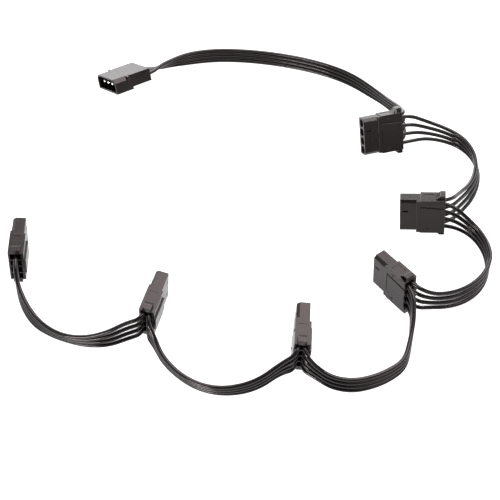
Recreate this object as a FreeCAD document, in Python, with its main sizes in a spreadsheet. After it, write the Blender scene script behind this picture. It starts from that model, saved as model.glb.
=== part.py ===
"""Power splitter lead: one four-pin plug feeds six four-way sockets along rows of four wires.

The lead lies on a surface at z = 0 in a loose C, with +Z up and lengths in millimetres.
Each connector is modelled in its own frame: +X is the way it mates, with x = 0 at its front face,
+Y faces out of its chamfered broad side, and its four ways are spaced along Z.
"""
import FreeCAD, Part
import Sketcher
import math
import os

from FreeCAD import Placement, Rotation, Vector

DRIVING_SIZES = {
    # The four ways, the same in the plug and in the sockets
    "way_pitch": 5.08,
    "rib_thickness": 0.8,
    "throat_length": 1.5,
    "throat_clearance": 0.1,
    "cell_clearance": 0.55,
    # Socket housing
    "socket_length": 23.2,
    "end_wall": 0.68,
    "socket_depth": 6.6,
    "nose_length": 10.4,
    "nose_chamfer": 1.6,
    "chamfer_length": 8.5,
    "shoulder_step": 0.35,
    "way_bore": 4.3,
    "way_bore_length": 10.5,
    "ear_length": 5.0,
    "ear_ramp": 2.4,
    "ear_rise": 2.3,
    "ear_wall": 0.8,
    "ear_breadth": 4.6,
    "pad_rise": 0.4,
    "block_breadth": 10.0,
    "block_rise": 0.8,
    "recess_gap": 1.6,
    "recess_length": 5.6,
    "recess_breadth": 4.2,
    "recess_depth": 0.15,
    "groove_width": 0.9,
    "groove_depth": 0.5,
    "groove_climb": 1.1,
    "panel_line_width": 0.35,
    "panel_line_depth": 0.3,
    "relief_length": 4.6,
    "relief_depth": 0.12,
    "slit_start": 1.4,
    "slit_length": 3.0,
    "slit_width": 0.95,
    "slit_offset": 3.4,
    "slit_depth": 0.85,
    "nub_size": 1.1,
    "nub_rise": 0.25,
    "nub_back": 13.95,
    "nub_inset": 1.95,
    # Plug housing: its hood slides over a socket's nose
    "plug_length": 24.4,
    "hood_length": 10.2,
    "hood_wall": 0.9,
    "hood_floor": 0.9,
    "mating_clearance": 0.2,
    "hood_tail": 1.3,
    "plug_end_wall": 0.98,
    "plug_body_depth": 7.6,
    "lip_back": 9.5,
    "lip_length": 1.2,
    "lip_rise": 0.9,
    "lip_breadth": 3.4,
    # Contacts
    "contact_diameter": 3.0,
    "contact_setback": 2.5,
    "contact_bore_length": 8.6,
    "pin_diameter": 2.1,
    "pin_clearance": 0.03,
    "pin_setback": 2.0,
    "pin_tip": 0.6,
    "crimp_length": 6.5,
    "crimp_margin": 0.2,
    "seam_width": 0.35,
    "seam_length": 6.0,
    # Wires
    "wire_diameter": 2.0,
    "wire_gap": 0.1,
}

WAYS = 4

# Where each connector's front face lies: x, y, heading, lean about its own axis, and nose-up pitch
PLUG_POSE = (-75.7, 85.6, 215.9, 113.3, 5.8)
SOCKET_POSES = {
    1: (71.8, 35.6, 198.0, 27.9, 2.9),
    2: (88.1, -17.5, 173.0, 7.4, -6.7),
    3: (73.6, -54.3, 125.2, -0.6, -5.4),
    4: (34.0, -85.7, 86.5, 3.2, 3.6),
    5: (-33.6, -67.4, 73.5, 6.5, 5.6),
    6: (-108.3, -32.6, 93.0, 6.2, 1.7),
}

# How far straight behind a connector each row of wires turns away: at its start and at its end
EXITS = {1: (3.0, 4.4), 2: (5.0, 2.2), 3: (2.4, 3.4), 4: (3.6, 2.4), 5: (2.8, 2.8), 6: (2.8, 3.0)}

# Each row of wires between two connectors: middle x, y, z, lean to the left of travel, wire spacing
ROUTES = {
    1: [
        (-47.0, 105.0, 6.4, -42, 2.9),
        (-39.0, 110.4, 5.6, -22, 2.3),
        (-31.8, 114.3, 4.8, 4, 2.15),
        (-24.0, 117.4, 4.2, 18, 2.15),
        (-12.4, 119.3, 4.1, 21, 2.15),
        (0.8, 119.2, 4.1, 21, 2.15),
        (13.8, 117.8, 4.1, 21, 2.15),
        (26.8, 115.3, 4.1, 21, 2.15),
        (39.8, 111.8, 4.1, 20, 2.15),
        (51.8, 107.2, 4.2, 17, 2.15),
        (63.3, 101.1, 4.5, 14, 2.15),
        (72.8, 93.2, 5.2, 10, 2.15),
        (80.3, 83.6, 6.6, 3, 2.15),
        (86.5, 74.6, 8.4, -8, 2.15),
        (91.3, 66.2, 10.3, -11, 2.45),
        (95.6, 58.9, 11.9, -14, 3.3),
    ],
    2: [
        (108.8, 47.1, 9.4, 22, 3.5),
        (119.9, 46.1, 6.8, 16, 2.75),
        (129.3, 41.7, 5.0, 10, 2.3),
        (134.4, 33.7, 4.3, -5, 2.15),
        (136.0, 23.9, 4.2, -18, 2.15),
        (134.1, 13.5, 4.2, -27, 2.15),
        (129.6, 3.3, 6.0, -36, 2.3),
        (123.6, -6.0, 9.0, -36, 3.0),
    ],
    3: [
        (123.3, -26.1, 9.6, -4, 3.5),
        (129.6, -33.0, 6.8, 4, 2.6),
        (132.4, -41.9, 4.6, 10, 2.15),
        (130.3, -51.5, 4.3, -6, 2.15),
        (124.7, -60.4, 4.4, -20, 2.35),
        (116.4, -67.6, 5.6, -22, 2.65),
        (107.2, -72.3, 7.7, -10, 3.1),
        (98.0, -74.8, 10.5, 0, 3.6),
    ],
    4: [
        (87.6, -87.9, 10.4, 0, 3.4),
        (85.6, -97.5, 7.4, -4, 2.6),
        (82.4, -107.8, 5.1, -8, 2.2),
        (75.0, -113.2, 4.4, -14, 2.15),
        (66.4, -117.3, 4.4, -15, 2.15),
        (57.0, -119.5, 4.6, -15, 2.2),
        (47.3, -118.8, 6.2, -6, 2.5),
        (39.6, -114.9, 9.2, 0, 2.9),
    ],
    5: [
        (23.0, -114.5, 11.2, 0, 2.6),
        (14.3, -119.8, 7.9, 0, 2.4),
        (4.7, -122.2, 5.7, 2, 2.15),
        (-5.9, -122.3, 4.6, 10, 2.15),
        (-16.1, -119.1, 4.3, 11, 2.15),
        (-25.3, -112.6, 4.5, 10, 2.15),
        (-32.3, -105.2, 6.4, 4, 2.4),
        (-35.9, -98.2, 9.6, 0, 3.3),
    ],
    6: [
        (-48.9, -93.5, 12.0, 0, 4.2),
        (-58.3, -96.2, 9.0, -4, 3.2),
        (-68.5, -96.0, 6.4, 0, 2.3),
        (-78.7, -93.3, 4.8, 13, 2.15),
        (-88.1, -88.7, 4.3, 6, 2.15),
        (-96.2, -82.4, 4.9, -12, 2.2),
        (-102.0, -74.3, 7.0, -10, 2.6),
        (-105.5, -66.3, 9.8, -4, 3.6),
    ],
}

# Share of the shorter run beside a corner that its arc takes up: an end run has only one corner
ARC_SHARE = 0.45
END_SHARE = 0.62

doc = FreeCAD.newDocument("PowerSplitter")
sheet = doc.addObject("Spreadsheet::Sheet", "Sizes")
for row, (alias, length) in enumerate(DRIVING_SIZES.items(), start=1):
    sheet.set(f"A{row}", alias)
    sheet.set(f"B{row}", str(length))
    sheet.setAlias(f"B{row}", alias)
doc.recompute()

# Sizes that follow from the driving ones, as expressions on the sheet
CONTACT_BORE = "(Sizes.pin_diameter + 2 * Sizes.pin_clearance)"
THROAT = "(Sizes.contact_diameter + Sizes.throat_clearance)"
CRIMP_DEPTH = "(2 * Sizes.wire_diameter + Sizes.wire_gap + Sizes.crimp_margin)"
CRIMP_WIDTH = "(Sizes.wire_diameter + 2 * Sizes.crimp_margin)"
CELL_WIDTH = "(Sizes.way_pitch - Sizes.rib_thickness)"
CELL_DEPTH = f"({CRIMP_DEPTH} + 2 * Sizes.cell_clearance)"
LAST_WAY_EDGE = f"({(WAYS - 1) / 2} * Sizes.way_pitch + Sizes.way_bore / 2)"
NOSE_HALF_WIDTH = f"({LAST_WAY_EDGE} + Sizes.end_wall)"
SHOULDER_HALF_WIDTH = f"({NOSE_HALF_WIDTH} + Sizes.shoulder_step)"
SHOULDER_HALF_DEPTH = "(Sizes.socket_depth / 2 + Sizes.shoulder_step)"
PAD_FACE = f"({SHOULDER_HALF_DEPTH} + Sizes.pad_rise)"
SOCKET_SEAT = "(Sizes.way_bore_length + Sizes.throat_length)"
MOUTH_HALF_WIDTH = f"({NOSE_HALF_WIDTH} + Sizes.mating_clearance)"
MOUTH_HALF_DEPTH = "(Sizes.socket_depth / 2 + Sizes.mating_clearance)"
HOOD_HALF_WIDTH = f"({MOUTH_HALF_WIDTH} + Sizes.hood_wall)"
HOOD_HALF_DEPTH = f"({MOUTH_HALF_DEPTH} + Sizes.hood_wall)"
PLUG_BODY_HALF_WIDTH = f"({LAST_WAY_EDGE} + Sizes.plug_end_wall)"
HOOD_CHAMFER = f"(Sizes.nose_chamfer + Sizes.hood_wall * {2 - math.sqrt(2):.6f})"
PLUG_THROAT = "(Sizes.hood_length - Sizes.hood_floor)"
PLUG_SEAT = f"({PLUG_THROAT} + Sizes.throat_length)"


def size(expression):
    """The value of an expression on the sheet, as a plain number."""
    return float(sheet.evalExpression(expression.replace("Sizes.", "")))


def way_offset(way):
    """A way's place along the row as an expression: the first way is the highest."""
    return f"({(WAYS - 1) / 2 - way} * Sizes.way_pitch)"


def sketch_on(body, role, name, offset="0"):
    """A sketch on one of the body's own planes, moved along the plane's normal by an expression."""
    plane = next(f for f in body.Origin.OriginFeatures if f.Role == role)
    sketch = body.newObject("Sketcher::SketchObject", name)
    sketch.AttachmentSupport = [(plane, "")]
    sketch.MapMode = "FlatFace"
    sketch.setExpression("AttachmentOffset.Base.z", offset)
    doc.recompute()
    return sketch


def pin_point(sketch, geometry, vertex, u, v):
    """Fixes a vertex of a sketch at (u, v), two expressions measured from the sketch's origin."""
    for kind, place in (("DistanceX", u), ("DistanceY", v)):
        index = sketch.addConstraint(
            Sketcher.Constraint(kind, -1, 1, geometry, vertex, size(place))
        )
        sketch.setExpression(f"Constraints[{index}]", place)


def draw_outline(sketch, corners):
    """A closed outline of straight edges through corners given as pairs of expressions."""
    places = [Vector(size(u), size(v), 0) for u, v in corners]
    first = sketch.GeometryCount
    count = len(corners)
    for i in range(count):
        sketch.addGeometry(Part.LineSegment(places[i], places[(i + 1) % count]), False)
    for i in range(count):
        following = first + (i + 1) % count
        sketch.addConstraint(Sketcher.Constraint("Coincident", first + i, 2, following, 1))
        pin_point(sketch, first + i, 1, *corners[i])


def draw_rectangle(sketch, u0, u1, v0, v1):
    draw_outline(sketch, [(u0, v0), (u1, v0), (u1, v1), (u0, v1)])


def draw_circle(sketch, u, v, diameter):
    circle = Part.Circle(Vector(size(u), size(v), 0), Vector(0, 0, 1), size(diameter) / 2)
    index = sketch.addGeometry(circle, False)
    pin_point(sketch, index, 3, u, v)
    limit = sketch.addConstraint(Sketcher.Constraint("Diameter", index, size(diameter)))
    sketch.setExpression(f"Constraints[{limit}]", diameter)


def extrude(body, kind, sketch, length, reverse=False, both_sides=False):
    """A Pad or a Pocket of a sketch, with its length bound to an expression."""
    feature = body.newObject(f"PartDesign::{kind}", f"{sketch.Name}_{kind}")
    feature.Profile = sketch
    feature.setExpression("Length", length)
    feature.Reversed = reverse
    feature.Midplane = both_sides
    doc.recompute()
    return feature


def mirror(body, features, role, name):
    plane = next(f for f in body.Origin.OriginFeatures if f.Role == role)
    mirrored = body.newObject("PartDesign::Mirrored", name)
    mirrored.Originals = features
    mirrored.MirrorPlane = (plane, [""])
    body.Tip = mirrored
    doc.recompute()
    return mirrored


def draw_chamfered_front(sketch, half_depth, half_width, chamfer):
    """The mating outline: a rectangle whose two corners on the +Y side are cut off."""
    inset_depth = f"{half_depth} - {chamfer}"
    inset_width = f"{half_width} - {chamfer}"
    draw_outline(
        sketch,
        [
            (f"-{half_depth}", f"-{half_width}"),
            (inset_depth, f"-{half_width}"),
            (half_depth, f"-({inset_width})"),
            (half_depth, inset_width),
            (inset_depth, half_width),
            (f"-{half_depth}", half_width),
        ],
    )


def cut_way_rears(body, seat, length):
    """The square throats that the contacts seat behind, and the open cells behind them."""
    throats = sketch_on(body, "YZ_Plane", f"{body.Name}_throats", f"-{seat}")
    cells = sketch_on(body, "YZ_Plane", f"{body.Name}_cells", f"-{seat}")
    for way in range(WAYS):
        middle = way_offset(way)
        half = f"{THROAT} / 2"
        draw_rectangle(throats, f"-{half}", half, f"{middle} - {half}", f"{middle} + {half}")
        draw_rectangle(
            cells,
            f"-{CELL_DEPTH} / 2",
            f"{CELL_DEPTH} / 2",
            f"{middle} - {CELL_WIDTH} / 2",
            f"{middle} + {CELL_WIDTH} / 2",
        )
    extrude(body, "Pocket", cells, f"{length} - {seat}")
    extrude(body, "Pocket", throats, "Sizes.throat_length", reverse=True)


def make_socket_housing():
    body = doc.addObject("PartDesign::Body", "SocketHousing")
    nose = sketch_on(body, "YZ_Plane", "socket_nose")
    draw_chamfered_front(nose, "Sizes.socket_depth / 2", NOSE_HALF_WIDTH, "Sizes.nose_chamfer")
    extrude(body, "Pad", nose, "Sizes.nose_length", reverse=True)
    add_shoulder(body)
    add_block(body)
    ears_and_nubs = [add_ear(body), add_nub(body)]
    mirror(body, ears_and_nubs, "XY_Plane", "socket_second_edge")
    cut_recesses(body)
    cut_chamfered_side(body)
    cut_plain_side_slits(body)

    bores = sketch_on(body, "YZ_Plane", "socket_bores")
    for way in range(WAYS):
        draw_circle(bores, "0", way_offset(way), "Sizes.way_bore")
    extrude(body, "Pocket", bores, "Sizes.way_bore_length")
    cut_way_rears(body, SOCKET_SEAT, "Sizes.socket_length")
    return body


def add_shoulder(body):
    """The wider rear, which starts further forward on the chamfered side than on the others."""
    shoulder = sketch_on(body, "YZ_Plane", "socket_shoulder", "-Sizes.nose_length")
    draw_rectangle(
        shoulder,
        f"-{SHOULDER_HALF_DEPTH}",
        SHOULDER_HALF_DEPTH,
        f"-{SHOULDER_HALF_WIDTH}",
        SHOULDER_HALF_WIDTH,
    )
    extrude(body, "Pad", shoulder, "Sizes.socket_length - Sizes.nose_length", reverse=True)
    collar = sketch_on(body, "YZ_Plane", "socket_collar", "-Sizes.chamfer_length")
    draw_rectangle(
        collar,
        "Sizes.socket_depth / 2 - Sizes.nose_chamfer",
        SHOULDER_HALF_DEPTH,
        f"-{NOSE_HALF_WIDTH}",
        NOSE_HALF_WIDTH,
    )
    extrude(body, "Pad", collar, "Sizes.nose_length - Sizes.chamfer_length", reverse=True)


def add_block(body):
    """The plain side is a little thicker behind the nose, and carries a broad block to the rear."""
    pad = sketch_on(body, "XZ_Plane", "socket_pad", SHOULDER_HALF_DEPTH)
    draw_rectangle(
        pad,
        "-Sizes.socket_length",
        "-Sizes.nose_length",
        f"-{SHOULDER_HALF_WIDTH}",
        SHOULDER_HALF_WIDTH,
    )
    extrude(body, "Pad", pad, "Sizes.pad_rise")
    block = sketch_on(body, "XZ_Plane", "socket_block", PAD_FACE)
    draw_rectangle(
        block,
        "-Sizes.socket_length",
        "-Sizes.nose_length",
        "-Sizes.block_breadth / 2",
        "Sizes.block_breadth / 2",
    )
    extrude(body, "Pad", block, "Sizes.block_rise")


def add_ear(body):
    """The thumb ear on a narrow side: a ramp, a flat and a rear wall, open from side to side."""
    ear = sketch_on(body, "XZ_Plane", "socket_ear")
    root = "Sizes.ear_length - Sizes.socket_length"
    top = f"{SHOULDER_HALF_WIDTH} + Sizes.ear_rise"
    under = f"{top} - Sizes.ear_wall"
    rear_wall = "Sizes.ear_wall - Sizes.socket_length"
    draw_outline(
        ear,
        [
            (root, SHOULDER_HALF_WIDTH),
            (f"{root} - Sizes.ear_ramp", top),
            ("-Sizes.socket_length", top),
            ("-Sizes.socket_length", SHOULDER_HALF_WIDTH),
            (rear_wall, SHOULDER_HALF_WIDTH),
            (rear_wall, under),
            (f"{root} - Sizes.ear_ramp", under),
            (f"{root} - Sizes.ear_ramp / 2", SHOULDER_HALF_WIDTH),
        ],
    )
    return extrude(body, "Pad", ear, "Sizes.ear_breadth", both_sides=True)


def add_nub(body):
    """The small square nub near an end of the chamfered side."""
    nub = sketch_on(body, "XZ_Plane", "socket_nub", f"-{SHOULDER_HALF_DEPTH}")
    draw_rectangle(
        nub,
        "-Sizes.nub_back - Sizes.nub_size",
        "-Sizes.nub_back",
        f"{SHOULDER_HALF_WIDTH} - Sizes.nub_inset - Sizes.nub_size",
        f"{SHOULDER_HALF_WIDTH} - Sizes.nub_inset",
    )
    return extrude(body, "Pad", nub, "Sizes.nub_rise", reverse=True)


def cut_recesses(body):
    """Shallow panels in the narrow sides, between the shoulder and the ears."""
    recess = sketch_on(body, "XY_Plane", "socket_recess", SHOULDER_HALF_WIDTH)
    recess_front = "-Sizes.nose_length - Sizes.recess_gap"
    draw_rectangle(
        recess,
        f"{recess_front} - Sizes.recess_length",
        recess_front,
        "-Sizes.recess_breadth / 2",
        "Sizes.recess_breadth / 2",
    )
    recess_cut = extrude(body, "Pocket", recess, "Sizes.recess_depth")
    mirror(body, [recess_cut], "XY_Plane", "socket_second_recess")


def cut_chamfered_side(body):
    """The slanting groove, the panel line, the front relief and the slit of the chamfered side."""
    groove = sketch_on(body, "XZ_Plane", "socket_groove", f"-{SHOULDER_HALF_DEPTH}")
    front_low = "Sizes.way_pitch + Sizes.groove_climb"
    draw_outline(
        groove,
        [
            ("-Sizes.socket_length", "Sizes.way_pitch"),
            ("-Sizes.nose_length", front_low),
            ("-Sizes.nose_length", f"{front_low} + Sizes.groove_width"),
            ("-Sizes.socket_length", "Sizes.way_pitch + Sizes.groove_width"),
        ],
    )
    extrude(body, "Pocket", groove, "Sizes.groove_depth", reverse=True)
    panel_line = sketch_on(body, "XZ_Plane", "socket_panel_line", f"-{SHOULDER_HALF_DEPTH}")
    draw_rectangle(
        panel_line,
        "-Sizes.nose_length - Sizes.panel_line_width",
        "-Sizes.nose_length",
        "-Sizes.way_pitch",
        front_low,
    )
    extrude(body, "Pocket", panel_line, "Sizes.panel_line_depth", reverse=True)
    relief = sketch_on(body, "XZ_Plane", "socket_relief", "-Sizes.socket_depth / 2")
    draw_rectangle(
        relief, "-Sizes.relief_length", "0", f"-{NOSE_HALF_WIDTH}", NOSE_HALF_WIDTH
    )
    extrude(body, "Pocket", relief, "Sizes.relief_depth", reverse=True)
    slit = sketch_on(body, "XZ_Plane", "socket_slit", "-Sizes.socket_depth / 2")
    draw_slit(slit, "Sizes.slit_offset")
    extrude(body, "Pocket", slit, "Sizes.slit_depth", reverse=True)


def cut_plain_side_slits(body):
    """Two slits in the nose of the plain side, between the outer ways."""
    slits = sketch_on(body, "XZ_Plane", "socket_far_slits", "Sizes.socket_depth / 2")
    for middle in ("Sizes.way_pitch", "-Sizes.way_pitch"):
        draw_slit(slits, middle)
    extrude(body, "Pocket", slits, "Sizes.slit_depth")


def draw_slit(sketch, middle):
    draw_rectangle(
        sketch,
        "-Sizes.slit_start - Sizes.slit_length",
        "-Sizes.slit_start",
        f"{middle} - Sizes.slit_width / 2",
        f"{middle} + Sizes.slit_width / 2",
    )


def make_plug_housing():
    body = doc.addObject("PartDesign::Body", "PlugHousing")
    hood = sketch_on(body, "YZ_Plane", "plug_hood")
    draw_chamfered_front(hood, HOOD_HALF_DEPTH, HOOD_HALF_WIDTH, HOOD_CHAMFER)
    extrude(body, "Pad", hood, "Sizes.hood_length", reverse=True)
    # The rear is flush with the hood on the chamfered side and stepped in on the plain side
    rear = sketch_on(body, "YZ_Plane", "plug_rear", "-Sizes.hood_length")
    draw_rectangle(
        rear,
        f"{HOOD_HALF_DEPTH} - Sizes.plug_body_depth",
        HOOD_HALF_DEPTH,
        f"-{PLUG_BODY_HALF_WIDTH}",
        PLUG_BODY_HALF_WIDTH,
    )
    extrude(body, "Pad", rear, "Sizes.plug_length - Sizes.hood_length", reverse=True)
    tail = sketch_on(body, "YZ_Plane", "plug_tail", "-Sizes.hood_length")
    draw_rectangle(
        tail,
        f"-{HOOD_HALF_DEPTH}",
        f"{HOOD_HALF_DEPTH} - Sizes.plug_body_depth",
        f"-{HOOD_HALF_WIDTH}",
        HOOD_HALF_WIDTH,
    )
    extrude(body, "Pad", tail, "Sizes.hood_tail", reverse=True)

    # A stop lip near the back of the hood at each end of the chamfered side
    lip = sketch_on(body, "XY_Plane", "plug_lip", f"{HOOD_HALF_WIDTH} - {HOOD_CHAMFER}")
    draw_rectangle(
        lip,
        "-Sizes.lip_back",
        "Sizes.lip_length - Sizes.lip_back",
        f"{HOOD_HALF_DEPTH} - Sizes.lip_breadth",
        HOOD_HALF_DEPTH,
    )
    lip_pad = extrude(body, "Pad", lip, f"{HOOD_CHAMFER} + Sizes.lip_rise")
    mirror(body, [lip_pad], "XY_Plane", "plug_second_lip")

    mouth = sketch_on(body, "YZ_Plane", "plug_mouth")
    draw_chamfered_front(mouth, MOUTH_HALF_DEPTH, MOUTH_HALF_WIDTH, "Sizes.nose_chamfer")
    extrude(body, "Pocket", mouth, PLUG_THROAT)
    cut_way_rears(body, PLUG_SEAT, "Sizes.plug_length")
    return body


def add_crimp(body, seat):
    """The flattened crimp that grips the wires, shouldered against the back of the throat."""
    crimp = sketch_on(body, "YZ_Plane", f"{body.Name}_crimp", f"-{seat}")
    draw_rectangle(
        crimp,
        f"-{CRIMP_DEPTH} / 2",
        f"{CRIMP_DEPTH} / 2",
        f"-{CRIMP_WIDTH} / 2",
        f"{CRIMP_WIDTH} / 2",
    )
    extrude(body, "Pad", crimp, "Sizes.crimp_length", reverse=True)


def revolve(body, sketch):
    """Turns a half profile, drawn in the XY plane, all the way round the X axis."""
    turned = body.newObject("PartDesign::Revolution", f"{sketch.Name}_turned")
    turned.Profile = sketch
    turned.ReferenceAxis = (sketch, ["H_Axis"])
    turned.Angle = 360
    doc.recompute()


def make_socket_contact():
    body = doc.addObject("PartDesign::Body", "SocketContact")
    tube = sketch_on(body, "XY_Plane", "contact_tube")
    front = "-Sizes.contact_setback"
    bore_end = f"{front} - Sizes.contact_bore_length"
    draw_outline(
        tube,
        [
            (front, f"{CONTACT_BORE} / 2"),
            (front, "Sizes.contact_diameter / 2"),
            (f"-{SOCKET_SEAT}", "Sizes.contact_diameter / 2"),
            (f"-{SOCKET_SEAT}", "0"),
            (bore_end, "0"),
            (bore_end, f"{CONTACT_BORE} / 2"),
        ],
    )
    revolve(body, tube)
    add_crimp(body, SOCKET_SEAT)
    # The seam where the rolled sheet meets, open at the mouth
    seam = sketch_on(body, "XY_Plane", "contact_seam")
    draw_rectangle(
        seam,
        f"{front} - Sizes.seam_length",
        front,
        "-Sizes.seam_width / 2",
        "Sizes.seam_width / 2",
    )
    extrude(body, "Pocket", seam, "Sizes.contact_diameter", reverse=True)
    return body


def make_plug_pin():
    body = doc.addObject("PartDesign::Body", "PlugPin")
    shaft = sketch_on(body, "XY_Plane", "pin_shaft")
    tip = "-Sizes.pin_setback"
    draw_outline(
        shaft,
        [
            (tip, "0"),
            (tip, "Sizes.pin_diameter / 2 - Sizes.pin_tip"),
            (f"{tip} - Sizes.pin_tip", "Sizes.pin_diameter / 2"),
            (f"-{PLUG_THROAT}", "Sizes.pin_diameter / 2"),
            (f"-{PLUG_THROAT}", "Sizes.contact_diameter / 2"),
            (f"-{PLUG_SEAT}", "Sizes.contact_diameter / 2"),
            (f"-{PLUG_SEAT}", "0"),
        ],
    )
    revolve(body, shaft)
    add_crimp(body, PLUG_SEAT)
    return body


nodes = []


def add_copy(name, master, placement):
    """A named copy of a master body, at its own place in the lead."""
    copy = doc.addObject("App::Link", name)
    copy.LinkedObject = master
    copy.Label = name
    copy.Placement = placement
    nodes.append(copy)
    return copy


def rest_on_floor(master, pose):
    """A connector's placement, lowered until its lowest corner touches z = 0."""
    x, y, heading, lean, nose_up = pose
    turned = Placement(Vector(x, y, 0), Rotation(heading, -nose_up, lean))
    lowest = master.Shape.transformGeometry(turned.toMatrix()).BoundBox.ZMin
    turned.move(Vector(0, 0, -lowest))
    return turned


def place_connector(name, housing, contact, contact_name, pose):
    placement = rest_on_floor(housing, pose)
    add_copy(f"{name}_housing", housing, placement)
    for way in range(WAYS):
        along_row = Placement(Vector(0, 0, size(way_offset(way))), Rotation())
        add_copy(f"{name}_{contact_name}_{way + 1}", contact, placement.multiply(along_row))
    return placement


def wire_end(placement, seat, length, exit_run, across, along):
    """A wire's two points in a connector: its end in the crimp, and its turn behind the rear."""
    crimp_end = -size(seat) - size("Sizes.crimp_length")
    turn = -size(length) - exit_run
    return [placement.multVec(Vector(x, across, along)) for x in (crimp_end, turn)]


def row_points(start, route, finish, offset):
    """One wire's points: its two ends, and each route point moved along the row by its spacing."""
    middles = [start[1]] + [Vector(*point[:3]) for point in route] + [finish[1]]
    points = list(start)
    for i, (x, y, z, lean, spacing) in enumerate(route, start=1):
        travel = middles[i + 1] - middles[i - 1]
        left = Vector(-travel.y, travel.x, 0).normalize()
        angle = math.radians(lean)
        stack = Vector(0, 0, math.cos(angle)) + left * math.sin(angle)
        points.append(Vector(x, y, z) + stack * (offset * spacing))
    return points + list(reversed(finish))


def cord_path(points):
    """Straight runs joined by tangent arcs, as a wire, with the tightest radius on it."""
    edges = []
    radii = []
    last = points[0]
    runs = [after - before for before, after in zip(points, points[1:])]
    shares = [END_SHARE] + [ARC_SHARE] * (len(runs) - 2) + [END_SHARE]
    rooms = [share * run.Length for share, run in zip(shares, runs)]
    for i, corner in enumerate(points[1:-1]):
        entry = runs[i]
        leave = runs[i + 1]
        turn = entry.getAngle(leave)
        reach = min(rooms[i], rooms[i + 1])
        radius = reach / math.tan(turn / 2)
        inward = (leave / leave.Length - entry / entry.Length).normalize()
        start = corner - entry / entry.Length * reach
        end = corner + leave / leave.Length * reach
        middle = corner + inward * (radius / math.cos(turn / 2) - radius)
        edges.append(Part.LineSegment(last, start).toShape())
        edges.append(Part.Arc(start, middle, end).toShape())
        radii.append(radius)
        last = end
    edges.append(Part.LineSegment(last, points[-1]).toShape())
    return Part.Wire(edges), min(radii)


def add_wire(name, points):
    """One insulated wire along its points, with its length and tightest bend printed."""
    radius = size("Sizes.wire_diameter") / 2
    path, tightest = cord_path(points)
    section = Part.Circle(points[0], points[1] - points[0], radius).toShape()
    wire = doc.addObject("Part::Feature", name)
    wire.Shape = path.makePipeShell([Part.Wire(section)], True, False)
    wire.Label = name
    nodes.append(wire)
    filled = wire.Shape.Volume / (math.pi * radius ** 2 * path.Length)
    print(f"{name}: length {path.Length:.1f}, tightest radius {tightest:.1f}, fill {filled:.4f}")


def add_row_of_wires(span, start, finish, route):
    """The four wires between two connectors: each end is (placement, seat, length, side, order)."""
    # Two wires share a crimp side by side: the one that arrives lies on the plain side
    aside = (size("Sizes.wire_diameter") + size("Sizes.wire_gap")) / 2
    for way in range(WAYS):
        offset = (WAYS - 1) / 2 - way
        ends = []
        for (placement, seat, length, side, order), exit_run in zip((start, finish), EXITS[span]):
            along = order * offset * size("Sizes.way_pitch")
            ends.append(wire_end(placement, seat, length, exit_run, side * aside, along))
        points = row_points(ends[0], route, ends[1], offset)
        add_wire(f"wire_{span}_{way + 1}", points)


def check_and_write():
    """Stops on any failed object or bad shape, then writes one STEP file for each piece."""
    doc.recompute()
    for item in doc.Objects:
        if "Invalid" in item.State or "Error" in item.State:
            raise RuntimeError(f"{item.Name} failed: {item.State}")
    shapes = {node.Label: Part.getShape(node) for node in nodes}
    for name, shape in shapes.items():
        if shape.isNull() or not shape.isValid() or len(shape.Solids) != 1:
            raise RuntimeError(f"{name} has a bad shape")
    os.makedirs("parts", exist_ok=True)
    for name, shape in shapes.items():
        shape.exportStep(f"parts/{name}.step")
    print(f"{len(shapes)} pieces written")


socket_housing = make_socket_housing()
plug_housing = make_plug_housing()
socket_contact = make_socket_contact()
plug_pin = make_plug_pin()

plug_place = place_connector("plug", plug_housing, plug_pin, "pin", PLUG_POSE)
socket_places = {
    number: place_connector(f"socket_{number}", socket_housing, socket_contact, "contact", pose)
    for number, pose in SOCKET_POSES.items()
}

# The plug lies with its row the other way up, so its ways are counted from the other end
previous = (plug_place, PLUG_SEAT, "Sizes.plug_length", 0, -1)
last_socket = max(SOCKET_POSES)
for span, route in ROUTES.items():
    arriving_side = 0 if span == last_socket else -1
    socket_end = (socket_places[span], SOCKET_SEAT, "Sizes.socket_length", arriving_side, 1)
    add_row_of_wires(span, previous, socket_end, route)
    previous = (socket_places[span], SOCKET_SEAT, "Sizes.socket_length", 1, 1)

check_and_write()
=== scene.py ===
import math
from collections import namedtuple

import bmesh
import bpy
from mathutils import Euler, Matrix, Vector


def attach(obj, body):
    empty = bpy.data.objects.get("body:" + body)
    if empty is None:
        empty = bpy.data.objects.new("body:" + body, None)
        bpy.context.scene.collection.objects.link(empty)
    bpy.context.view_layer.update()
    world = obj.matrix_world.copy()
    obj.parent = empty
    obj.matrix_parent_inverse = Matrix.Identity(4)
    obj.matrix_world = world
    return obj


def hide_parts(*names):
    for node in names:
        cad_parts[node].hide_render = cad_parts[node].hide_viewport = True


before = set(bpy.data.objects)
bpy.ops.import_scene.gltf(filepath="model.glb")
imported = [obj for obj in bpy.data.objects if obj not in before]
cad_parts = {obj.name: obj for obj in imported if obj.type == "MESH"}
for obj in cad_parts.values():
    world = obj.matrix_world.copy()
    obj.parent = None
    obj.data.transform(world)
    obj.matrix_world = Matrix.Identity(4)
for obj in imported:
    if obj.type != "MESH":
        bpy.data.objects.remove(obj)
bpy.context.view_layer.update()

# Sizes of the lead in metres, as in the part's source
WAYS = 4
WAY_PITCH = 0.00508
SOCKET_LENGTH = 0.0232
SOCKET_SEAT = 0.012
PLUG_LENGTH = 0.0244
PLUG_SEAT = 0.0108
CRIMP_LENGTH = 0.0065
WIRE_DIAMETER = 0.0020
WIRE_GAP = 0.0001

# The insulation as drawn, a little thicker so that the wires of a row lie against each other
WIRE_SKIN_DIAMETER = 0.00213

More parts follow.
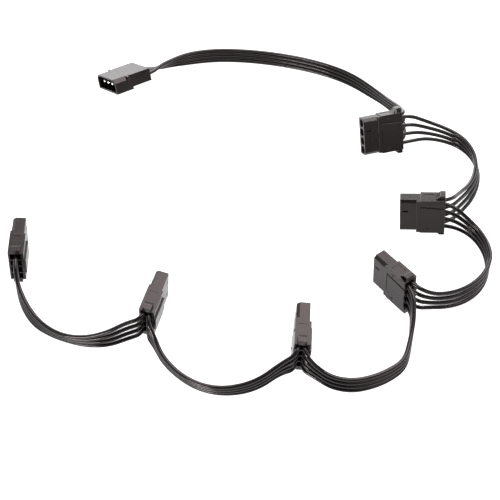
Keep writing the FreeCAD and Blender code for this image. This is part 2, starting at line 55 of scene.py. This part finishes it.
# Each connector's front face: x, y, z, heading, lean about its own axis, and nose-up pitch
PLUG_POSE = (-0.0757, 0.0856, 0.00973, 215.9, 113.3, 5.8)
SOCKET_POSES = {
    1: (0.0718, 0.0356, 0.0150, 198.0, 27.9, 2.9),
    2: (0.0881, -0.0175, 0.01107, 173.0, 7.4, -6.7),
    3: (0.0736, -0.0543, 0.01135, 125.2, -0.6, -5.4),
    4: (0.0340, -0.0857, 0.01478, 86.5, 3.2, 3.6),
    5: (-0.0336, -0.0674, 0.01576, 73.5, 6.5, 5.6),
    6: (-0.1083, -0.0326, 0.01423, 93.0, 6.2, 1.7),
}

# How far behind a connector each row of wires turns away: at its start and at its end
EXITS = {
    1: (0.0030, 0.0044),
    2: (0.0050, 0.0022),
    3: (0.0024, 0.0034),
    4: (0.0036, 0.0024),
    5: (0.0028, 0.0028),
    6: (0.0028, 0.0030),
}

# Each row of wires between two connectors: middle x, y, z, lean to the left of travel, wire spacing
ROUTES = {
    1: [
        (-0.0470, 0.1050, 0.0064, -42, 0.0029),
        (-0.0390, 0.1104, 0.0056, -22, 0.0023),
        (-0.0318, 0.1143, 0.0048, 4, 0.00215),
        (-0.0240, 0.1174, 0.0042, 18, 0.00215),
        (-0.0124, 0.1193, 0.0041, 21, 0.00215),
        (0.0008, 0.1192, 0.0041, 21, 0.00215),
        (0.0138, 0.1178, 0.0041, 21, 0.00215),
        (0.0268, 0.1153, 0.0041, 21, 0.00215),
        (0.0398, 0.1118, 0.0041, 20, 0.00215),
        (0.0518, 0.1072, 0.0042, 17, 0.00215),
        (0.0633, 0.1011, 0.0045, 14, 0.00215),
        (0.0728, 0.0932, 0.0052, 10, 0.00215),
        (0.0803, 0.0836, 0.0066, 3, 0.00215),
        (0.0865, 0.0746, 0.0084, -8, 0.00215),
        (0.0913, 0.0662, 0.0103, -11, 0.00245),
        (0.0956, 0.0589, 0.0119, -14, 0.0033),
    ],
    2: [
        (0.1088, 0.0471, 0.0094, 22, 0.0035),
        (0.1199, 0.0461, 0.0068, 16, 0.00275),
        (0.1293, 0.0417, 0.0050, 10, 0.0023),
        (0.1344, 0.0337, 0.0043, -5, 0.00215),
        (0.1360, 0.0239, 0.0042, -18, 0.00215),
        (0.1341, 0.0135, 0.0042, -27, 0.00215),
        (0.1296, 0.0033, 0.0060, -36, 0.0023),
        (0.1236, -0.0060, 0.0090, -36, 0.003),
    ],
    3: [
        (0.1233, -0.0261, 0.0096, -4, 0.0035),
        (0.1296, -0.0330, 0.0068, 4, 0.0026),
        (0.1324, -0.0419, 0.0046, 10, 0.00215),
        (0.1303, -0.0515, 0.0043, -6, 0.00215),
        (0.1247, -0.0604, 0.0044, -20, 0.00235),
        (0.1164, -0.0676, 0.0056, -22, 0.00265),
        (0.1072, -0.0723, 0.0077, -10, 0.0031),
        (0.0980, -0.0748, 0.0105, 0, 0.0036),
    ],
    4: [
        (0.0876, -0.0879, 0.0104, 0, 0.0034),
        (0.0856, -0.0975, 0.0074, -4, 0.0026),
        (0.0824, -0.1078, 0.0051, -8, 0.0022),
        (0.0750, -0.1132, 0.0044, -14, 0.00215),
        (0.0664, -0.1173, 0.0044, -15, 0.00215),
        (0.0570, -0.1195, 0.0046, -15, 0.0022),
        (0.0473, -0.1188, 0.0062, -6, 0.0025),
        (0.0396, -0.1149, 0.0092, 0, 0.0029),
    ],
    5: [
        (0.0230, -0.1145, 0.0112, 0, 0.0026),
        (0.0143, -0.1198, 0.0079, 0, 0.0024),
        (0.0047, -0.1222, 0.0057, 2, 0.00215),
        (-0.0059, -0.1223, 0.0046, 10, 0.00215),
        (-0.0161, -0.1191, 0.0043, 11, 0.00215),
        (-0.0253, -0.1126, 0.0045, 10, 0.00215),
        (-0.0323, -0.1052, 0.0064, 4, 0.0024),
        (-0.0359, -0.0982, 0.0096, 0, 0.0033),
    ],
    6: [
        (-0.0489, -0.0935, 0.0120, 0, 0.0042),
        (-0.0583, -0.0962, 0.0090, -4, 0.0032),
        (-0.0685, -0.0960, 0.0064, 0, 0.0023),
        (-0.0787, -0.0933, 0.0048, 13, 0.00215),
        (-0.0881, -0.0887, 0.0043, 6, 0.00215),
        (-0.0962, -0.0824, 0.0049, -12, 0.0022),
        (-0.1020, -0.0743, 0.0070, -10, 0.0026),
        (-0.1055, -0.0663, 0.0098, -4, 0.0036),
    ],
}

# Rounding of a housing's edges: its width and steps, and the share of a narrow face that it may take
HOUSING_ROUNDING = 0.00022
ROUNDING_STEPS = 2
ROUNDING_SHARE = 0.45

# The material slots of a housing while its edges are rounded, where the second marks the roundings
FACE_SLOT = 0
ROUNDING_SLOT = 1

# Faces that turn by more than this meet at a sharp edge, and roundings shade across a wider turn
SHARP_EDGE = math.radians(25)
ROUNDING_REACH = math.radians(75)

# Cuts that are shallower than this keep crisp rims
SHALLOW_CUT = 0.0012

# Corners of CAD facets nearer than this, and facets that turn by less, become one
SAME_CORNER = 1e-6
SAME_PLANE = math.radians(1)

# A ring's outline is a superellipse: this power makes it round, and a higher one squarer
ROUND = 2.0

# A crimp's rings up to the contact's seat: x from the seat, half depth, half width, squareness, seam
CRIMP_RINGS = [
    (-CRIMP_LENGTH, 0.00205, 0.00110, 5.0, 0.00040),
    (-0.00640, 0.00213, 0.00118, 5.0, 0.00045),
    (-0.00430, 0.00213, 0.00118, 5.0, 0.00045),
    (-0.00410, 0.00195, 0.00104, 5.0, 0.00040),
    (-0.00350, 0.00195, 0.00104, 5.0, 0.00040),
    (-0.00330, 0.00208, 0.00114, 5.0, 0.00040),
    (-0.00110, 0.00208, 0.00114, 5.0, 0.00040),
    (-0.00070, 0.00165, 0.00110, 3.0, 0.00020),
    (-0.00015, 0.00146, 0.00118, 2.4, 0.00012),
    (0.0, 0.00149, 0.00149, ROUND, 0.00030),
]

# The round rings in front of the seat: x from the connector's front face, radius, seam depth
SOCKET_CONTACT_FRONT = [
    (-0.00265, 0.00149, 0.00030),
    (-0.00250, 0.00138, 0.00022),
    (-0.00250, 0.00122, 0.00008),
    (-0.00265, 0.00108, 0.0),
    (-0.01110, 0.00108, 0.0),
]
PLUG_PIN_FRONT = [
    (-0.00945, 0.00149, 0.00030),
    (-0.00930, 0.00140, 0.00022),
    (-0.00930, 0.00115, 0.00010),
    (-0.00920, 0.00105, 0.00008),
    (-0.00270, 0.00105, 0.00008),
    (-0.00235, 0.00092, 0.00006),
    (-0.00212, 0.00070, 0.00003),
    (-0.00200, 0.00042, 0.0),
]

# Degrees round a ring: close steps on both sides of its seam, even ones elsewhere
SEAM_STEPS = (7, 15)
RING_STEP = 15

# Faces of a contact that turn by more than this meet at a crease
CONTACT_CREASE = math.radians(40)

# Half the floor's width, which keeps its far edge out of low views
FLOOR_HALF = 20.0

# The studio's soft boxes: place, aim, width, depth and power
SOFTBOXES = {
    "overhead": ((0.42, 0.25, 1.1), (0.32, 0.0, 0.0), 1.3, 1.2, 35.0),
    "behind": ((-0.3, 1.4, 0.40), (0.0, 0.0, 0.0), 2.0, 0.8, 33.0),
    "front_left": ((-0.85, -1.20, 0.33), (0.0, 0.0, 0.0), 0.6, 0.2, 23.0),
}

# The surroundings: the direction that is dark, the cosines to it at which the dark starts and is
# full, and the strength outside and inside it
DARK_SIDE = Vector((0.0, -0.64, 0.77))
DARK_START = 0.66
DARK_FULL = 0.94
PALE_STRENGTH = 0.85
DARK_STRENGTH = 0.03

# The photograph's camera
CAMERA_TARGET = Vector((0.0093, -0.0339, 0.0))
CAMERA_ELEVATION = math.radians(50.46)
CAMERA_DISTANCE = 0.5112
LENS_LENGTH = 70.29
SENSOR_WIDTH = 36.0

# How a row of wires meets a connector: its side of the ways' middles, and +1 or -1 for their order
Rear = namedtuple("Rear", "place seat length side order")


class Flow:
    """A node's output that can be used in sums: each operator adds the Math node for it."""

    def __init__(self, socket):
        self.socket = socket
        self.tree = socket.id_data

    def math(self, operation, first, second):
        node = self.tree.nodes.new("ShaderNodeMath")
        node.operation = operation
        for place, value in zip(node.inputs, (first, second)):
            connect(self.tree, value, place)
        return Flow(node.outputs[0])

    def __add__(self, other):
        return self.math("ADD", self, other)

    def __radd__(self, other):
        return self.math("ADD", other, self)

    def __sub__(self, other):
        return self.math("SUBTRACT", self, other)

    def __rsub__(self, other):
        return self.math("SUBTRACT", other, self)

    def __mul__(self, other):
        return self.math("MULTIPLY", self, other)

    def __rmul__(self, other):
        return self.math("MULTIPLY", other, self)

    def __truediv__(self, other):
        return self.math("DIVIDE", self, other)

    def __rtruediv__(self, other):
        return self.math("DIVIDE", other, self)

    def into(self, kind, place, output=0, settings=None, **values):
        """Any other node, with this flow going in at the named place."""
        return new_node(self.tree, kind, output, settings, **{place: self}, **values)


def connect(tree, value, socket):
    """Links a flow to a node's input, or sets the input to a plain value."""
    if isinstance(value, Flow):
        tree.links.new(value.socket, socket)
    else:
        socket.default_value = value


def new_node(tree, kind, output=0, settings=None, **values):
    """A node with its settings and inputs, named with _ for a space, as one of its outputs."""
    node = tree.nodes.new(kind)
    for name, value in (settings or {}).items():
        setattr(node, name, value)
    for name, value in values.items():
        wanted = name.replace("_", " ")
        socket = next(s for s in node.inputs if s.name == wanted and s.enabled)
        connect(tree, value, socket)
    return Flow(node.outputs[output])


def feed(shader, **values):
    """Links flows to the shader's inputs, named with _ for a space, or sets plain values there."""
    for name, value in values.items():
        connect(shader.id_data, value, shader.inputs[name.replace("_", " ")])


def new_material(name, **constants):
    """A material and its shader, with the values that are the same all over set on the shader."""
    material = bpy.data.materials.new(name)
    material.use_nodes = True
    shader = material.node_tree.nodes["Principled BSDF"]
    feed(shader, **constants)
    return material, material.node_tree, shader


def place_on_piece(tree):
    return new_node(tree, "ShaderNodeTexCoord", "Object")


def surface_noise(tree, where, scale, detail=3.0):
    return new_node(
        tree, "ShaderNodeTexNoise", Vector=where, Scale=scale, Detail=detail, Roughness=0.6
    )


def spread(flow, low, high):
    """A noise value widened to run from low to high."""
    return flow.into(
        "ShaderNodeMapRange", "Value", From_Min=0.3, From_Max=0.7, To_Min=low, To_Max=high
    )


def blend_colours(tree, factor, first, second):
    return new_node(
        tree, "ShaderNodeMix", 2, {"data_type": "RGBA"}, Factor=factor, A=first, B=second
    )


def bump(height, strength, distance):
    return height.into("ShaderNodeBump", "Height", Strength=strength, Distance=distance)


def make_plastic():
    """Black moulded nylon: fine spark grain, uneven gloss, edges that handling has polished to more
    gloss, and a painted highlight that lightens the edge roundings in patches.
    """
    material, tree, shader = new_material(
        "moulded_nylon", IOR=1.33, Specular_Tint=(1.0, 0.84, 0.85, 1)
    )
    where = place_on_piece(tree)
    edge = new_node(tree, "ShaderNodeAttribute", "Fac", {"attribute_name": "edge"})
    cloud = surface_noise(tree, where, 90.0)
    grain = surface_noise(tree, where, 5200.0, detail=2.0)
    # Noise for real scuffs in the gloss, and for the patches of the painted edge highlight
    scuff_and_highlight_noise = surface_noise(tree, where, 700.0, detail=5.0)
    body = blend_colours(
        tree, spread(cloud, 0.0, 1.0), (0.0036, 0.0029, 0.0029, 1), (0.0064, 0.0051, 0.0051, 1)
    )
    # Painted highlight: the edge roundings are lightened, in patches, towards a grey that stands in
    # for light caught on the edges
    painted_edge_highlight = edge * spread(scuff_and_highlight_noise, 0.2, 1.0)
    colour = blend_colours(tree, painted_edge_highlight, body, (0.028, 0.024, 0.024, 1))
    gloss = spread(cloud, 0.24, 0.32) + spread(scuff_and_highlight_noise, -0.03, 0.04) - edge * 0.04
    feed(shader, Base_Color=colour, Roughness=gloss, Normal=bump(grain, 0.10, 0.00002))
    return material


def make_insulation():
    """Black wire insulation: smooth, faintly mottled and very finely uneven."""
    material, tree, shader = new_material(
        "wire_insulation", IOR=1.335, Specular_Tint=(1.0, 0.88, 0.89, 1)
    )
    where = place_on_piece(tree)
    mottle = surface_noise(tree, where, 260.0)
    fine = surface_noise(tree, where, 2600.0, detail=4.0)
    colour = blend_colours(
        tree, spread(mottle, 0.0, 1.0), (0.0023, 0.0019, 0.0019, 1), (0.0044, 0.0037, 0.0037, 1)
    )
    gloss = spread(mottle, 0.16, 0.19) + spread(fine, -0.01, 0.01)
    feed(shader, Base_Color=colour, Roughness=gloss, Normal=bump(fine, 0.02, 0.00002))
    return material


def make_tin():
    """Bright tin plating on rolled sheet, with a fine satin and faint tarnish."""
    material, tree, shader = new_material("tin_plate", Metallic=1.0)
    where = place_on_piece(tree)
    tarnish = surface_noise(tree, where, 420.0, detail=5.0)
    satin = surface_noise(tree, where, 7000.0, detail=2.0)
    colour = blend_colours(
        tree, spread(tarnish, 0.0, 1.0), (0.90, 0.89, 0.87, 1), (0.72, 0.70, 0.67, 1)
    )
    gloss = spread(tarnish, 0.18, 0.30)
    feed(shader, Base_Color=colour, Roughness=gloss, Normal=bump(satin, 0.08, 0.00001))
    return material


def make_floor_paint():
    """Matt white paint that glows a little, so that the floor stays white as in the photograph."""
    material, tree, shader = new_material(
        "floor_paint", Roughness=0.9, Emission_Color=(1, 1, 1, 1), Emission_Strength=1.1
    )
    shade = spread(surface_noise(tree, place_on_piece(tree), 6.0), 0.0, 1.0)
    colour = blend_colours(tree, shade, (0.20, 0.20, 0.20, 1), (0.22, 0.22, 0.22, 1))
    feed(shader, Base_Color=colour)
    return material


def add_object(name, data):
    item = bpy.data.objects.new(name, data)
    bpy.context.collection.objects.link(item)
    return item


def add_piece(name, data, slot, *nodes):
    """A finished piece that stands for its CAD nodes, on the lead's one body."""
    piece = add_object(name, data)
    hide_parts(*nodes)
    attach(piece, "root")
    return piece


def applied_mesh(helper):
    """The plain mesh that a helper's modifiers make, with the helper taken away."""
    mesh = bpy.data.meshes.new_from_object(
        helper.evaluated_get(bpy.context.evaluated_depsgraph_get())
    )
    bpy.data.objects.remove(helper)
    return mesh


def connector_place(pose):
    """The turn and move that take a connector from the origin to its place on the table."""
    x, y, z, heading, lean, nose_up = pose
    turn = Euler((math.radians(lean), math.radians(-nose_up), math.radians(heading)), "XYZ")
    return Matrix.Translation((x, y, z)) @ turn.to_matrix().to_4x4()


def wire_end(rear, exit_run, offset):
    """A wire's two points in a connector: its end in the crimp, and its turn behind the rear."""
    across = rear.side * (WIRE_DIAMETER + WIRE_GAP) / 2
    along = rear.order * offset * WAY_PITCH
    runs = (rear.seat + CRIMP_LENGTH, rear.length + exit_run)
    return [rear.place @ Vector((-run, across, along)) for run in runs]


def wire_points(start, route, finish, offset):
    """One wire's points: its two ends, and each route point moved along the row by its spacing."""
    middles = [start[1]] + [Vector(point[:3]) for point in route] + [finish[1]]
    points = list(start)
    for i, (x, y, z, lean, spacing) in enumerate(route, start=1):
        travel = middles[i + 1] - middles[i - 1]
        left = Vector((-travel.y, travel.x, 0)).normalized()
        angle = math.radians(lean)
        stack = Vector((0, 0, math.cos(angle))) + left * math.sin(angle)
        points.append(Vector((x, y, z)) + stack * (offset * spacing))
    return points + list(reversed(finish))


def add_wire(name, points, material):
    """One wire as a smooth cord through the route's points."""
    curve = bpy.data.curves.new(name, "CURVE")
    curve.dimensions = "3D"
    curve.bevel_depth = WIRE_SKIN_DIAMETER / 2
    curve.bevel_resolution = 8
    curve.resolution_u = 16
    curve.use_fill_caps = True
    spline = curve.splines.new("NURBS")
    spline.points.add(len(points) - 1)
    for place, point in zip(spline.points, points):
        place.co = (*point, 1)
    spline.order_u = 3
    spline.use_endpoint_u = True
    curve.materials.append(material)
    piece = add_piece(f"{name}_insulation", curve, "insulation", name)


def add_wires(material):
    """The rows of wires, from the plug to the first socket and on from socket to socket."""
    last_socket = max(SOCKET_POSES)
    departing = Rear(connector_place(PLUG_POSE), PLUG_SEAT, PLUG_LENGTH, side=0, order=-1)
    for span, route in ROUTES.items():
        place = connector_place(SOCKET_POSES[span])
        side = 0 if span == last_socket else -1
        arriving = Rear(place, SOCKET_SEAT, SOCKET_LENGTH, side, order=1)
        for way in range(WAYS):
            offset = (WAYS - 1) / 2 - way
            start, finish = (
                wire_end(rear, run, offset) for rear, run in zip((departing, arriving), EXITS[span])
            )
            points = wire_points(start, route, finish, offset)
            add_wire(f"wire_{span}_{way + 1}", points, material)
        departing = arriving._replace(side=1)


def room_beside(edge, face):
    """How far a face reaches from one of its edges."""
    start = edge.verts[0].co
    along = (edge.verts[1].co - start).normalized()
    return max(((v.co - start) - along * (v.co - start).dot(along)).length for v in face.verts)


def rims_shallow_cut(edge):
    """Whether an edge is the rim of a shallow cut, which a mould leaves crisp."""
    for face in edge.link_faces:
        inner = [e.calc_face_angle_signed() < -SHARP_EDGE for e in face.edges if e != edge]
        if all(inner) and room_beside(edge, face) < SHALLOW_CUT:
            return True
    return False


def shade_roundings(mesh, rounded):
    """Flat faces shade flat and curved ones smooth, and a rounding runs from face to face."""
    around = [[] for _ in mesh.vertices]
    for face in mesh.polygons:
        for vertex in face.vertices:
            around[vertex].append(face)
    normals = []
    for face in mesh.polygons:
        reach = ROUNDING_REACH if rounded[face.index] else SHARP_EDGE
        for vertex in face.vertices:
            near = [f for f in around[vertex] if f.normal.angle(face.normal, math.pi) < reach]
            plain = [f for f in near if not rounded[f.index]]
            total = sum((f.normal * f.area for f in plain or near), Vector())
            normals.append(total.normalized() if total.length else face.normal)
    mesh.normals_split_custom_set(normals)


def mark_roundings(mesh):
    """Makes whole faces of a CAD mesh's facets, and weights each outer edge by what room it has."""
    work = bmesh.new()
    work.from_mesh(mesh)
    bmesh.ops.remove_doubles(work, verts=work.verts, dist=SAME_CORNER)
    bmesh.ops.dissolve_limit(work, angle_limit=SAME_PLANE, verts=work.verts, edges=work.edges)
    weight = work.edges.layers.float.new("bevel_weight_edge")
    for face in work.faces:
        face.smooth = True
    for edge in work.edges:
        if edge.calc_face_angle_signed() > SHARP_EDGE and not rims_shallow_cut(edge):
            room = min(room_beside(edge, face) for face in edge.link_faces)
            edge[weight] = min(1.0, ROUNDING_SHARE * room / HOUSING_ROUNDING)
    work.to_mesh(mesh)
    work.free()


def round_edges(name, mesh, material):
    """The mesh with its marked edges rounded, and its new faces marked in the edge attribute."""
    mesh.materials.clear()
    for _ in (FACE_SLOT, ROUNDING_SLOT):
        mesh.materials.append(material)
    shaped = add_object(f"{name}_shaping", mesh)
    rounding = shaped.modifiers.new("rounding", "BEVEL")
    rounding.limit_method = "WEIGHT"
    rounding.width = HOUSING_ROUNDING
    rounding.segments = ROUNDING_STEPS
    rounding.use_clamp_overlap = False
    rounding.material = ROUNDING_SLOT
    finished = applied_mesh(shaped)
    rounded = [face.material_index == ROUNDING_SLOT for face in finished.polygons]
    edge_mark = finished.attributes.new("edge", "FLOAT", "FACE")
    edge_mark.data.foreach_set("value", [float(mark) for mark in rounded])
    finished.polygons.foreach_set("material_index", [FACE_SLOT] * len(rounded))
    shade_roundings(finished, rounded)
    finished.materials.pop(index=ROUNDING_SLOT)
    return finished


def add_housing(node, material):
    """A housing's CAD mesh with every outer edge rounded as a mould leaves it."""
    name = f"{node.name}_moulding"
    mesh = node.data.copy()
    mark_roundings(mesh)
    add_piece(name, round_edges(name, mesh, material), "housing", node.name)


def ring_angles():
    """The angles of a ring's points, from its seam all the way round."""
    even = range(SEAM_STEPS[-1] + RING_STEP, 360 - SEAM_STEPS[-1], RING_STEP)
    return [0, *SEAM_STEPS, *even, *(360 - angle for angle in reversed(SEAM_STEPS))]


def ring_points(x, half_depth, half_width, squareness, seam):
    """One ring's points, with the seam where the rolled sheet meets on its upper side."""
    points = []
    for angle in ring_angles():
        across = math.sin(math.radians(angle))
        along = math.cos(math.radians(angle))
        fold = seam if angle == 0 else 0.0
        y = math.copysign(abs(across) ** (2 / squareness), across) * half_depth
        z = math.copysign(abs(along) ** (2 / squareness), along) * (half_width - fold)
        points.append((x, y, z))
    return points


def contact_master(name, seat, front):
    """One contact, skinned over the rings of its crimp and its front and closed at both ends."""
    rings = [(x - seat, *section) for x, *section in CRIMP_RINGS]
    rings += [(x, radius, radius, ROUND, seam) for x, radius, seam in front]
    work = bmesh.new()
    loops = [[work.verts.new(point) for point in ring_points(*ring)] for ring in rings]
    for near, far in zip(loops, loops[1:]):
        for i in range(len(near)):
            work.faces.new((near[i - 1], near[i], far[i], far[i - 1]))
    work.faces.new(loops[0])
    work.faces.new(list(reversed(loops[-1])))
    bmesh.ops.recalc_face_normals(work, faces=work.faces)
    for face in work.faces:
        face.smooth = len(face.verts) == 4
    for edge in work.edges:
        edge.smooth = edge.calc_face_angle() < CONTACT_CREASE
    mesh = bpy.data.meshes.new(name)
    work.to_mesh(mesh)
    work.free()
    return add_object(name, mesh)


def make_row_layout():
    """A node group that lays copies of a contact out in a row, joined and in one finish."""
    group = bpy.data.node_groups.new("contact_row", "GeometryNodeTree")
    wanted = {
        "Contact": "NodeSocketObject",
        "Count": "NodeSocketInt",
        "Pitch": "NodeSocketFloat",
        "Finish": "NodeSocketMaterial",
    }
    for name, kind in wanted.items():
        group.interface.new_socket(name, in_out="INPUT", socket_type=kind)
    group.interface.new_socket("Geometry", in_out="OUTPUT", socket_type="NodeSocketGeometry")
    given = group.nodes.new("NodeGroupInput")
    contact, count, pitch, finish = (Flow(given.outputs[name]) for name in wanted)
    first = new_node(group, "ShaderNodeCombineXYZ", Z=(count - 1) * pitch / 2)
    step = new_node(group, "ShaderNodeCombineXYZ", Z=0 - pitch)
    line = new_node(
        group, "GeometryNodeMeshLine", Count=count, Start_Location=first, Offset=step
    )
    shape = contact.into("GeometryNodeObjectInfo", "Object", output="Geometry")
    row = line.into("GeometryNodeInstanceOnPoints", "Points", Instance=shape)
    joined = row.into("GeometryNodeRealizeInstances", "Geometry")
    finished = joined.into("GeometryNodeSetMaterial", "Geometry", Material=finish)
    result = group.nodes.new("NodeGroupOutput")
    connect(group, finished, result.inputs["Geometry"])
    return group


def add_contact_row(name, master, layout, pose, nodes, material):
    """The contacts of one connector, as one piece at the connector's place."""
    holder = add_object(f"{name}_layout", bpy.data.meshes.new(f"{name}_layout"))
    row = holder.modifiers.new("row", "NODES")
    row.node_group = layout
    values = {"Contact": master, "Count": WAYS, "Pitch": WAY_PITCH, "Finish": material}
    for socket in layout.interface.items_tree:
        if socket.in_out == "INPUT":
            row[socket.identifier] = values[socket.name]
    mesh = applied_mesh(holder)
    mesh.transform(connector_place(pose))
    add_piece(name, mesh, "contact", *nodes)


def add_contacts(material):
    """The plug's pins and every socket's contacts."""
    layout = make_row_layout()
    pin = contact_master("pin_master", PLUG_SEAT, PLUG_PIN_FRONT)
    contact = contact_master("contact_master", SOCKET_SEAT, SOCKET_CONTACT_FRONT)
    rows = [("plug", "pin", pin, PLUG_POSE)]
    rows += [(f"socket_{n}", "contact", contact, pose) for n, pose in SOCKET_POSES.items()]
    for connector, kind, master, pose in rows:
        nodes = [f"{connector}_{kind}_{way + 1}" for way in range(WAYS)]
        add_contact_row(f"{connector}_{kind}_row", master, layout, pose, nodes, material)
    bpy.data.objects.remove(pin)
    bpy.data.objects.remove(contact)


def add_floor():
    mesh = bpy.data.meshes.new("floor")
    corners = [(x * FLOOR_HALF, y * FLOOR_HALF, 0) for x, y in ((-1, -1), (1, -1), (1, 1), (-1, 1))]
    mesh.from_pydata(corners, [], [(0, 1, 2, 3)])
    mesh.materials.append(make_floor_paint())
    add_object("floor", mesh)


def make_surroundings():
    """A white studio that is darker high up in front, on the photographer's side."""
    world = bpy.data.worlds.new("studio")
    world.use_nodes = True
    tree = world.node_tree
    direction = new_node(tree, "ShaderNodeTexCoord", "Generated")
    back = direction.into("ShaderNodeSeparateXYZ", "Vector", "Y")
    up = direction.into("ShaderNodeSeparateXYZ", "Vector", "Z")
    towards_dark = up * DARK_SIDE.z + back * DARK_SIDE.y
    brightness = towards_dark.into(
        "ShaderNodeMapRange",
        "Value",
        From_Min=DARK_START,
        From_Max=DARK_FULL,
        To_Min=PALE_STRENGTH,
        To_Max=DARK_STRENGTH,
    )
    background = tree.nodes["Background"]
    background.inputs["Color"].default_value = (1, 1, 1, 1)
    connect(tree, brightness, background.inputs["Strength"])
    return world


def add_softbox(name, place, aim, width, depth, power):
    lamp = bpy.data.lights.new(name, "AREA")
    lamp.shape = "RECTANGLE"
    lamp.size = width
    lamp.size_y = depth
    lamp.energy = power
    light = add_object(name, lamp)
    light.location = place
    light.rotation_euler = (Vector(aim) - Vector(place)).to_track_quat("-Z", "Y").to_euler()


def add_studio():
    """Pale surroundings, and soft boxes overhead, behind and low in front on the left."""
    scene = bpy.context.scene
    scene.world = make_surroundings()
    scene.view_settings.view_transform = "Standard"
    for name, settings in SOFTBOXES.items():
        add_softbox(name, *settings)


def add_camera():
    lens = bpy.data.cameras.new("camera")
    lens.sensor_width = SENSOR_WIDTH
    lens.lens = LENS_LENGTH
    camera = add_object("camera", lens)
    towards = Vector((0, -math.cos(CAMERA_ELEVATION), math.sin(CAMERA_ELEVATION)))
    camera.location = CAMERA_TARGET + CAMERA_DISTANCE * towards
    camera.rotation_euler = (math.pi / 2 - CAMERA_ELEVATION, 0, 0)
    bpy.context.scene.camera = camera


add_studio()
add_camera()
add_floor()
plastic = make_plastic()
add_wires(make_insulation())
add_contacts(make_tin())
for node_name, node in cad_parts.items():
    if node_name.endswith("_housing"):
        add_housing(node, plastic)
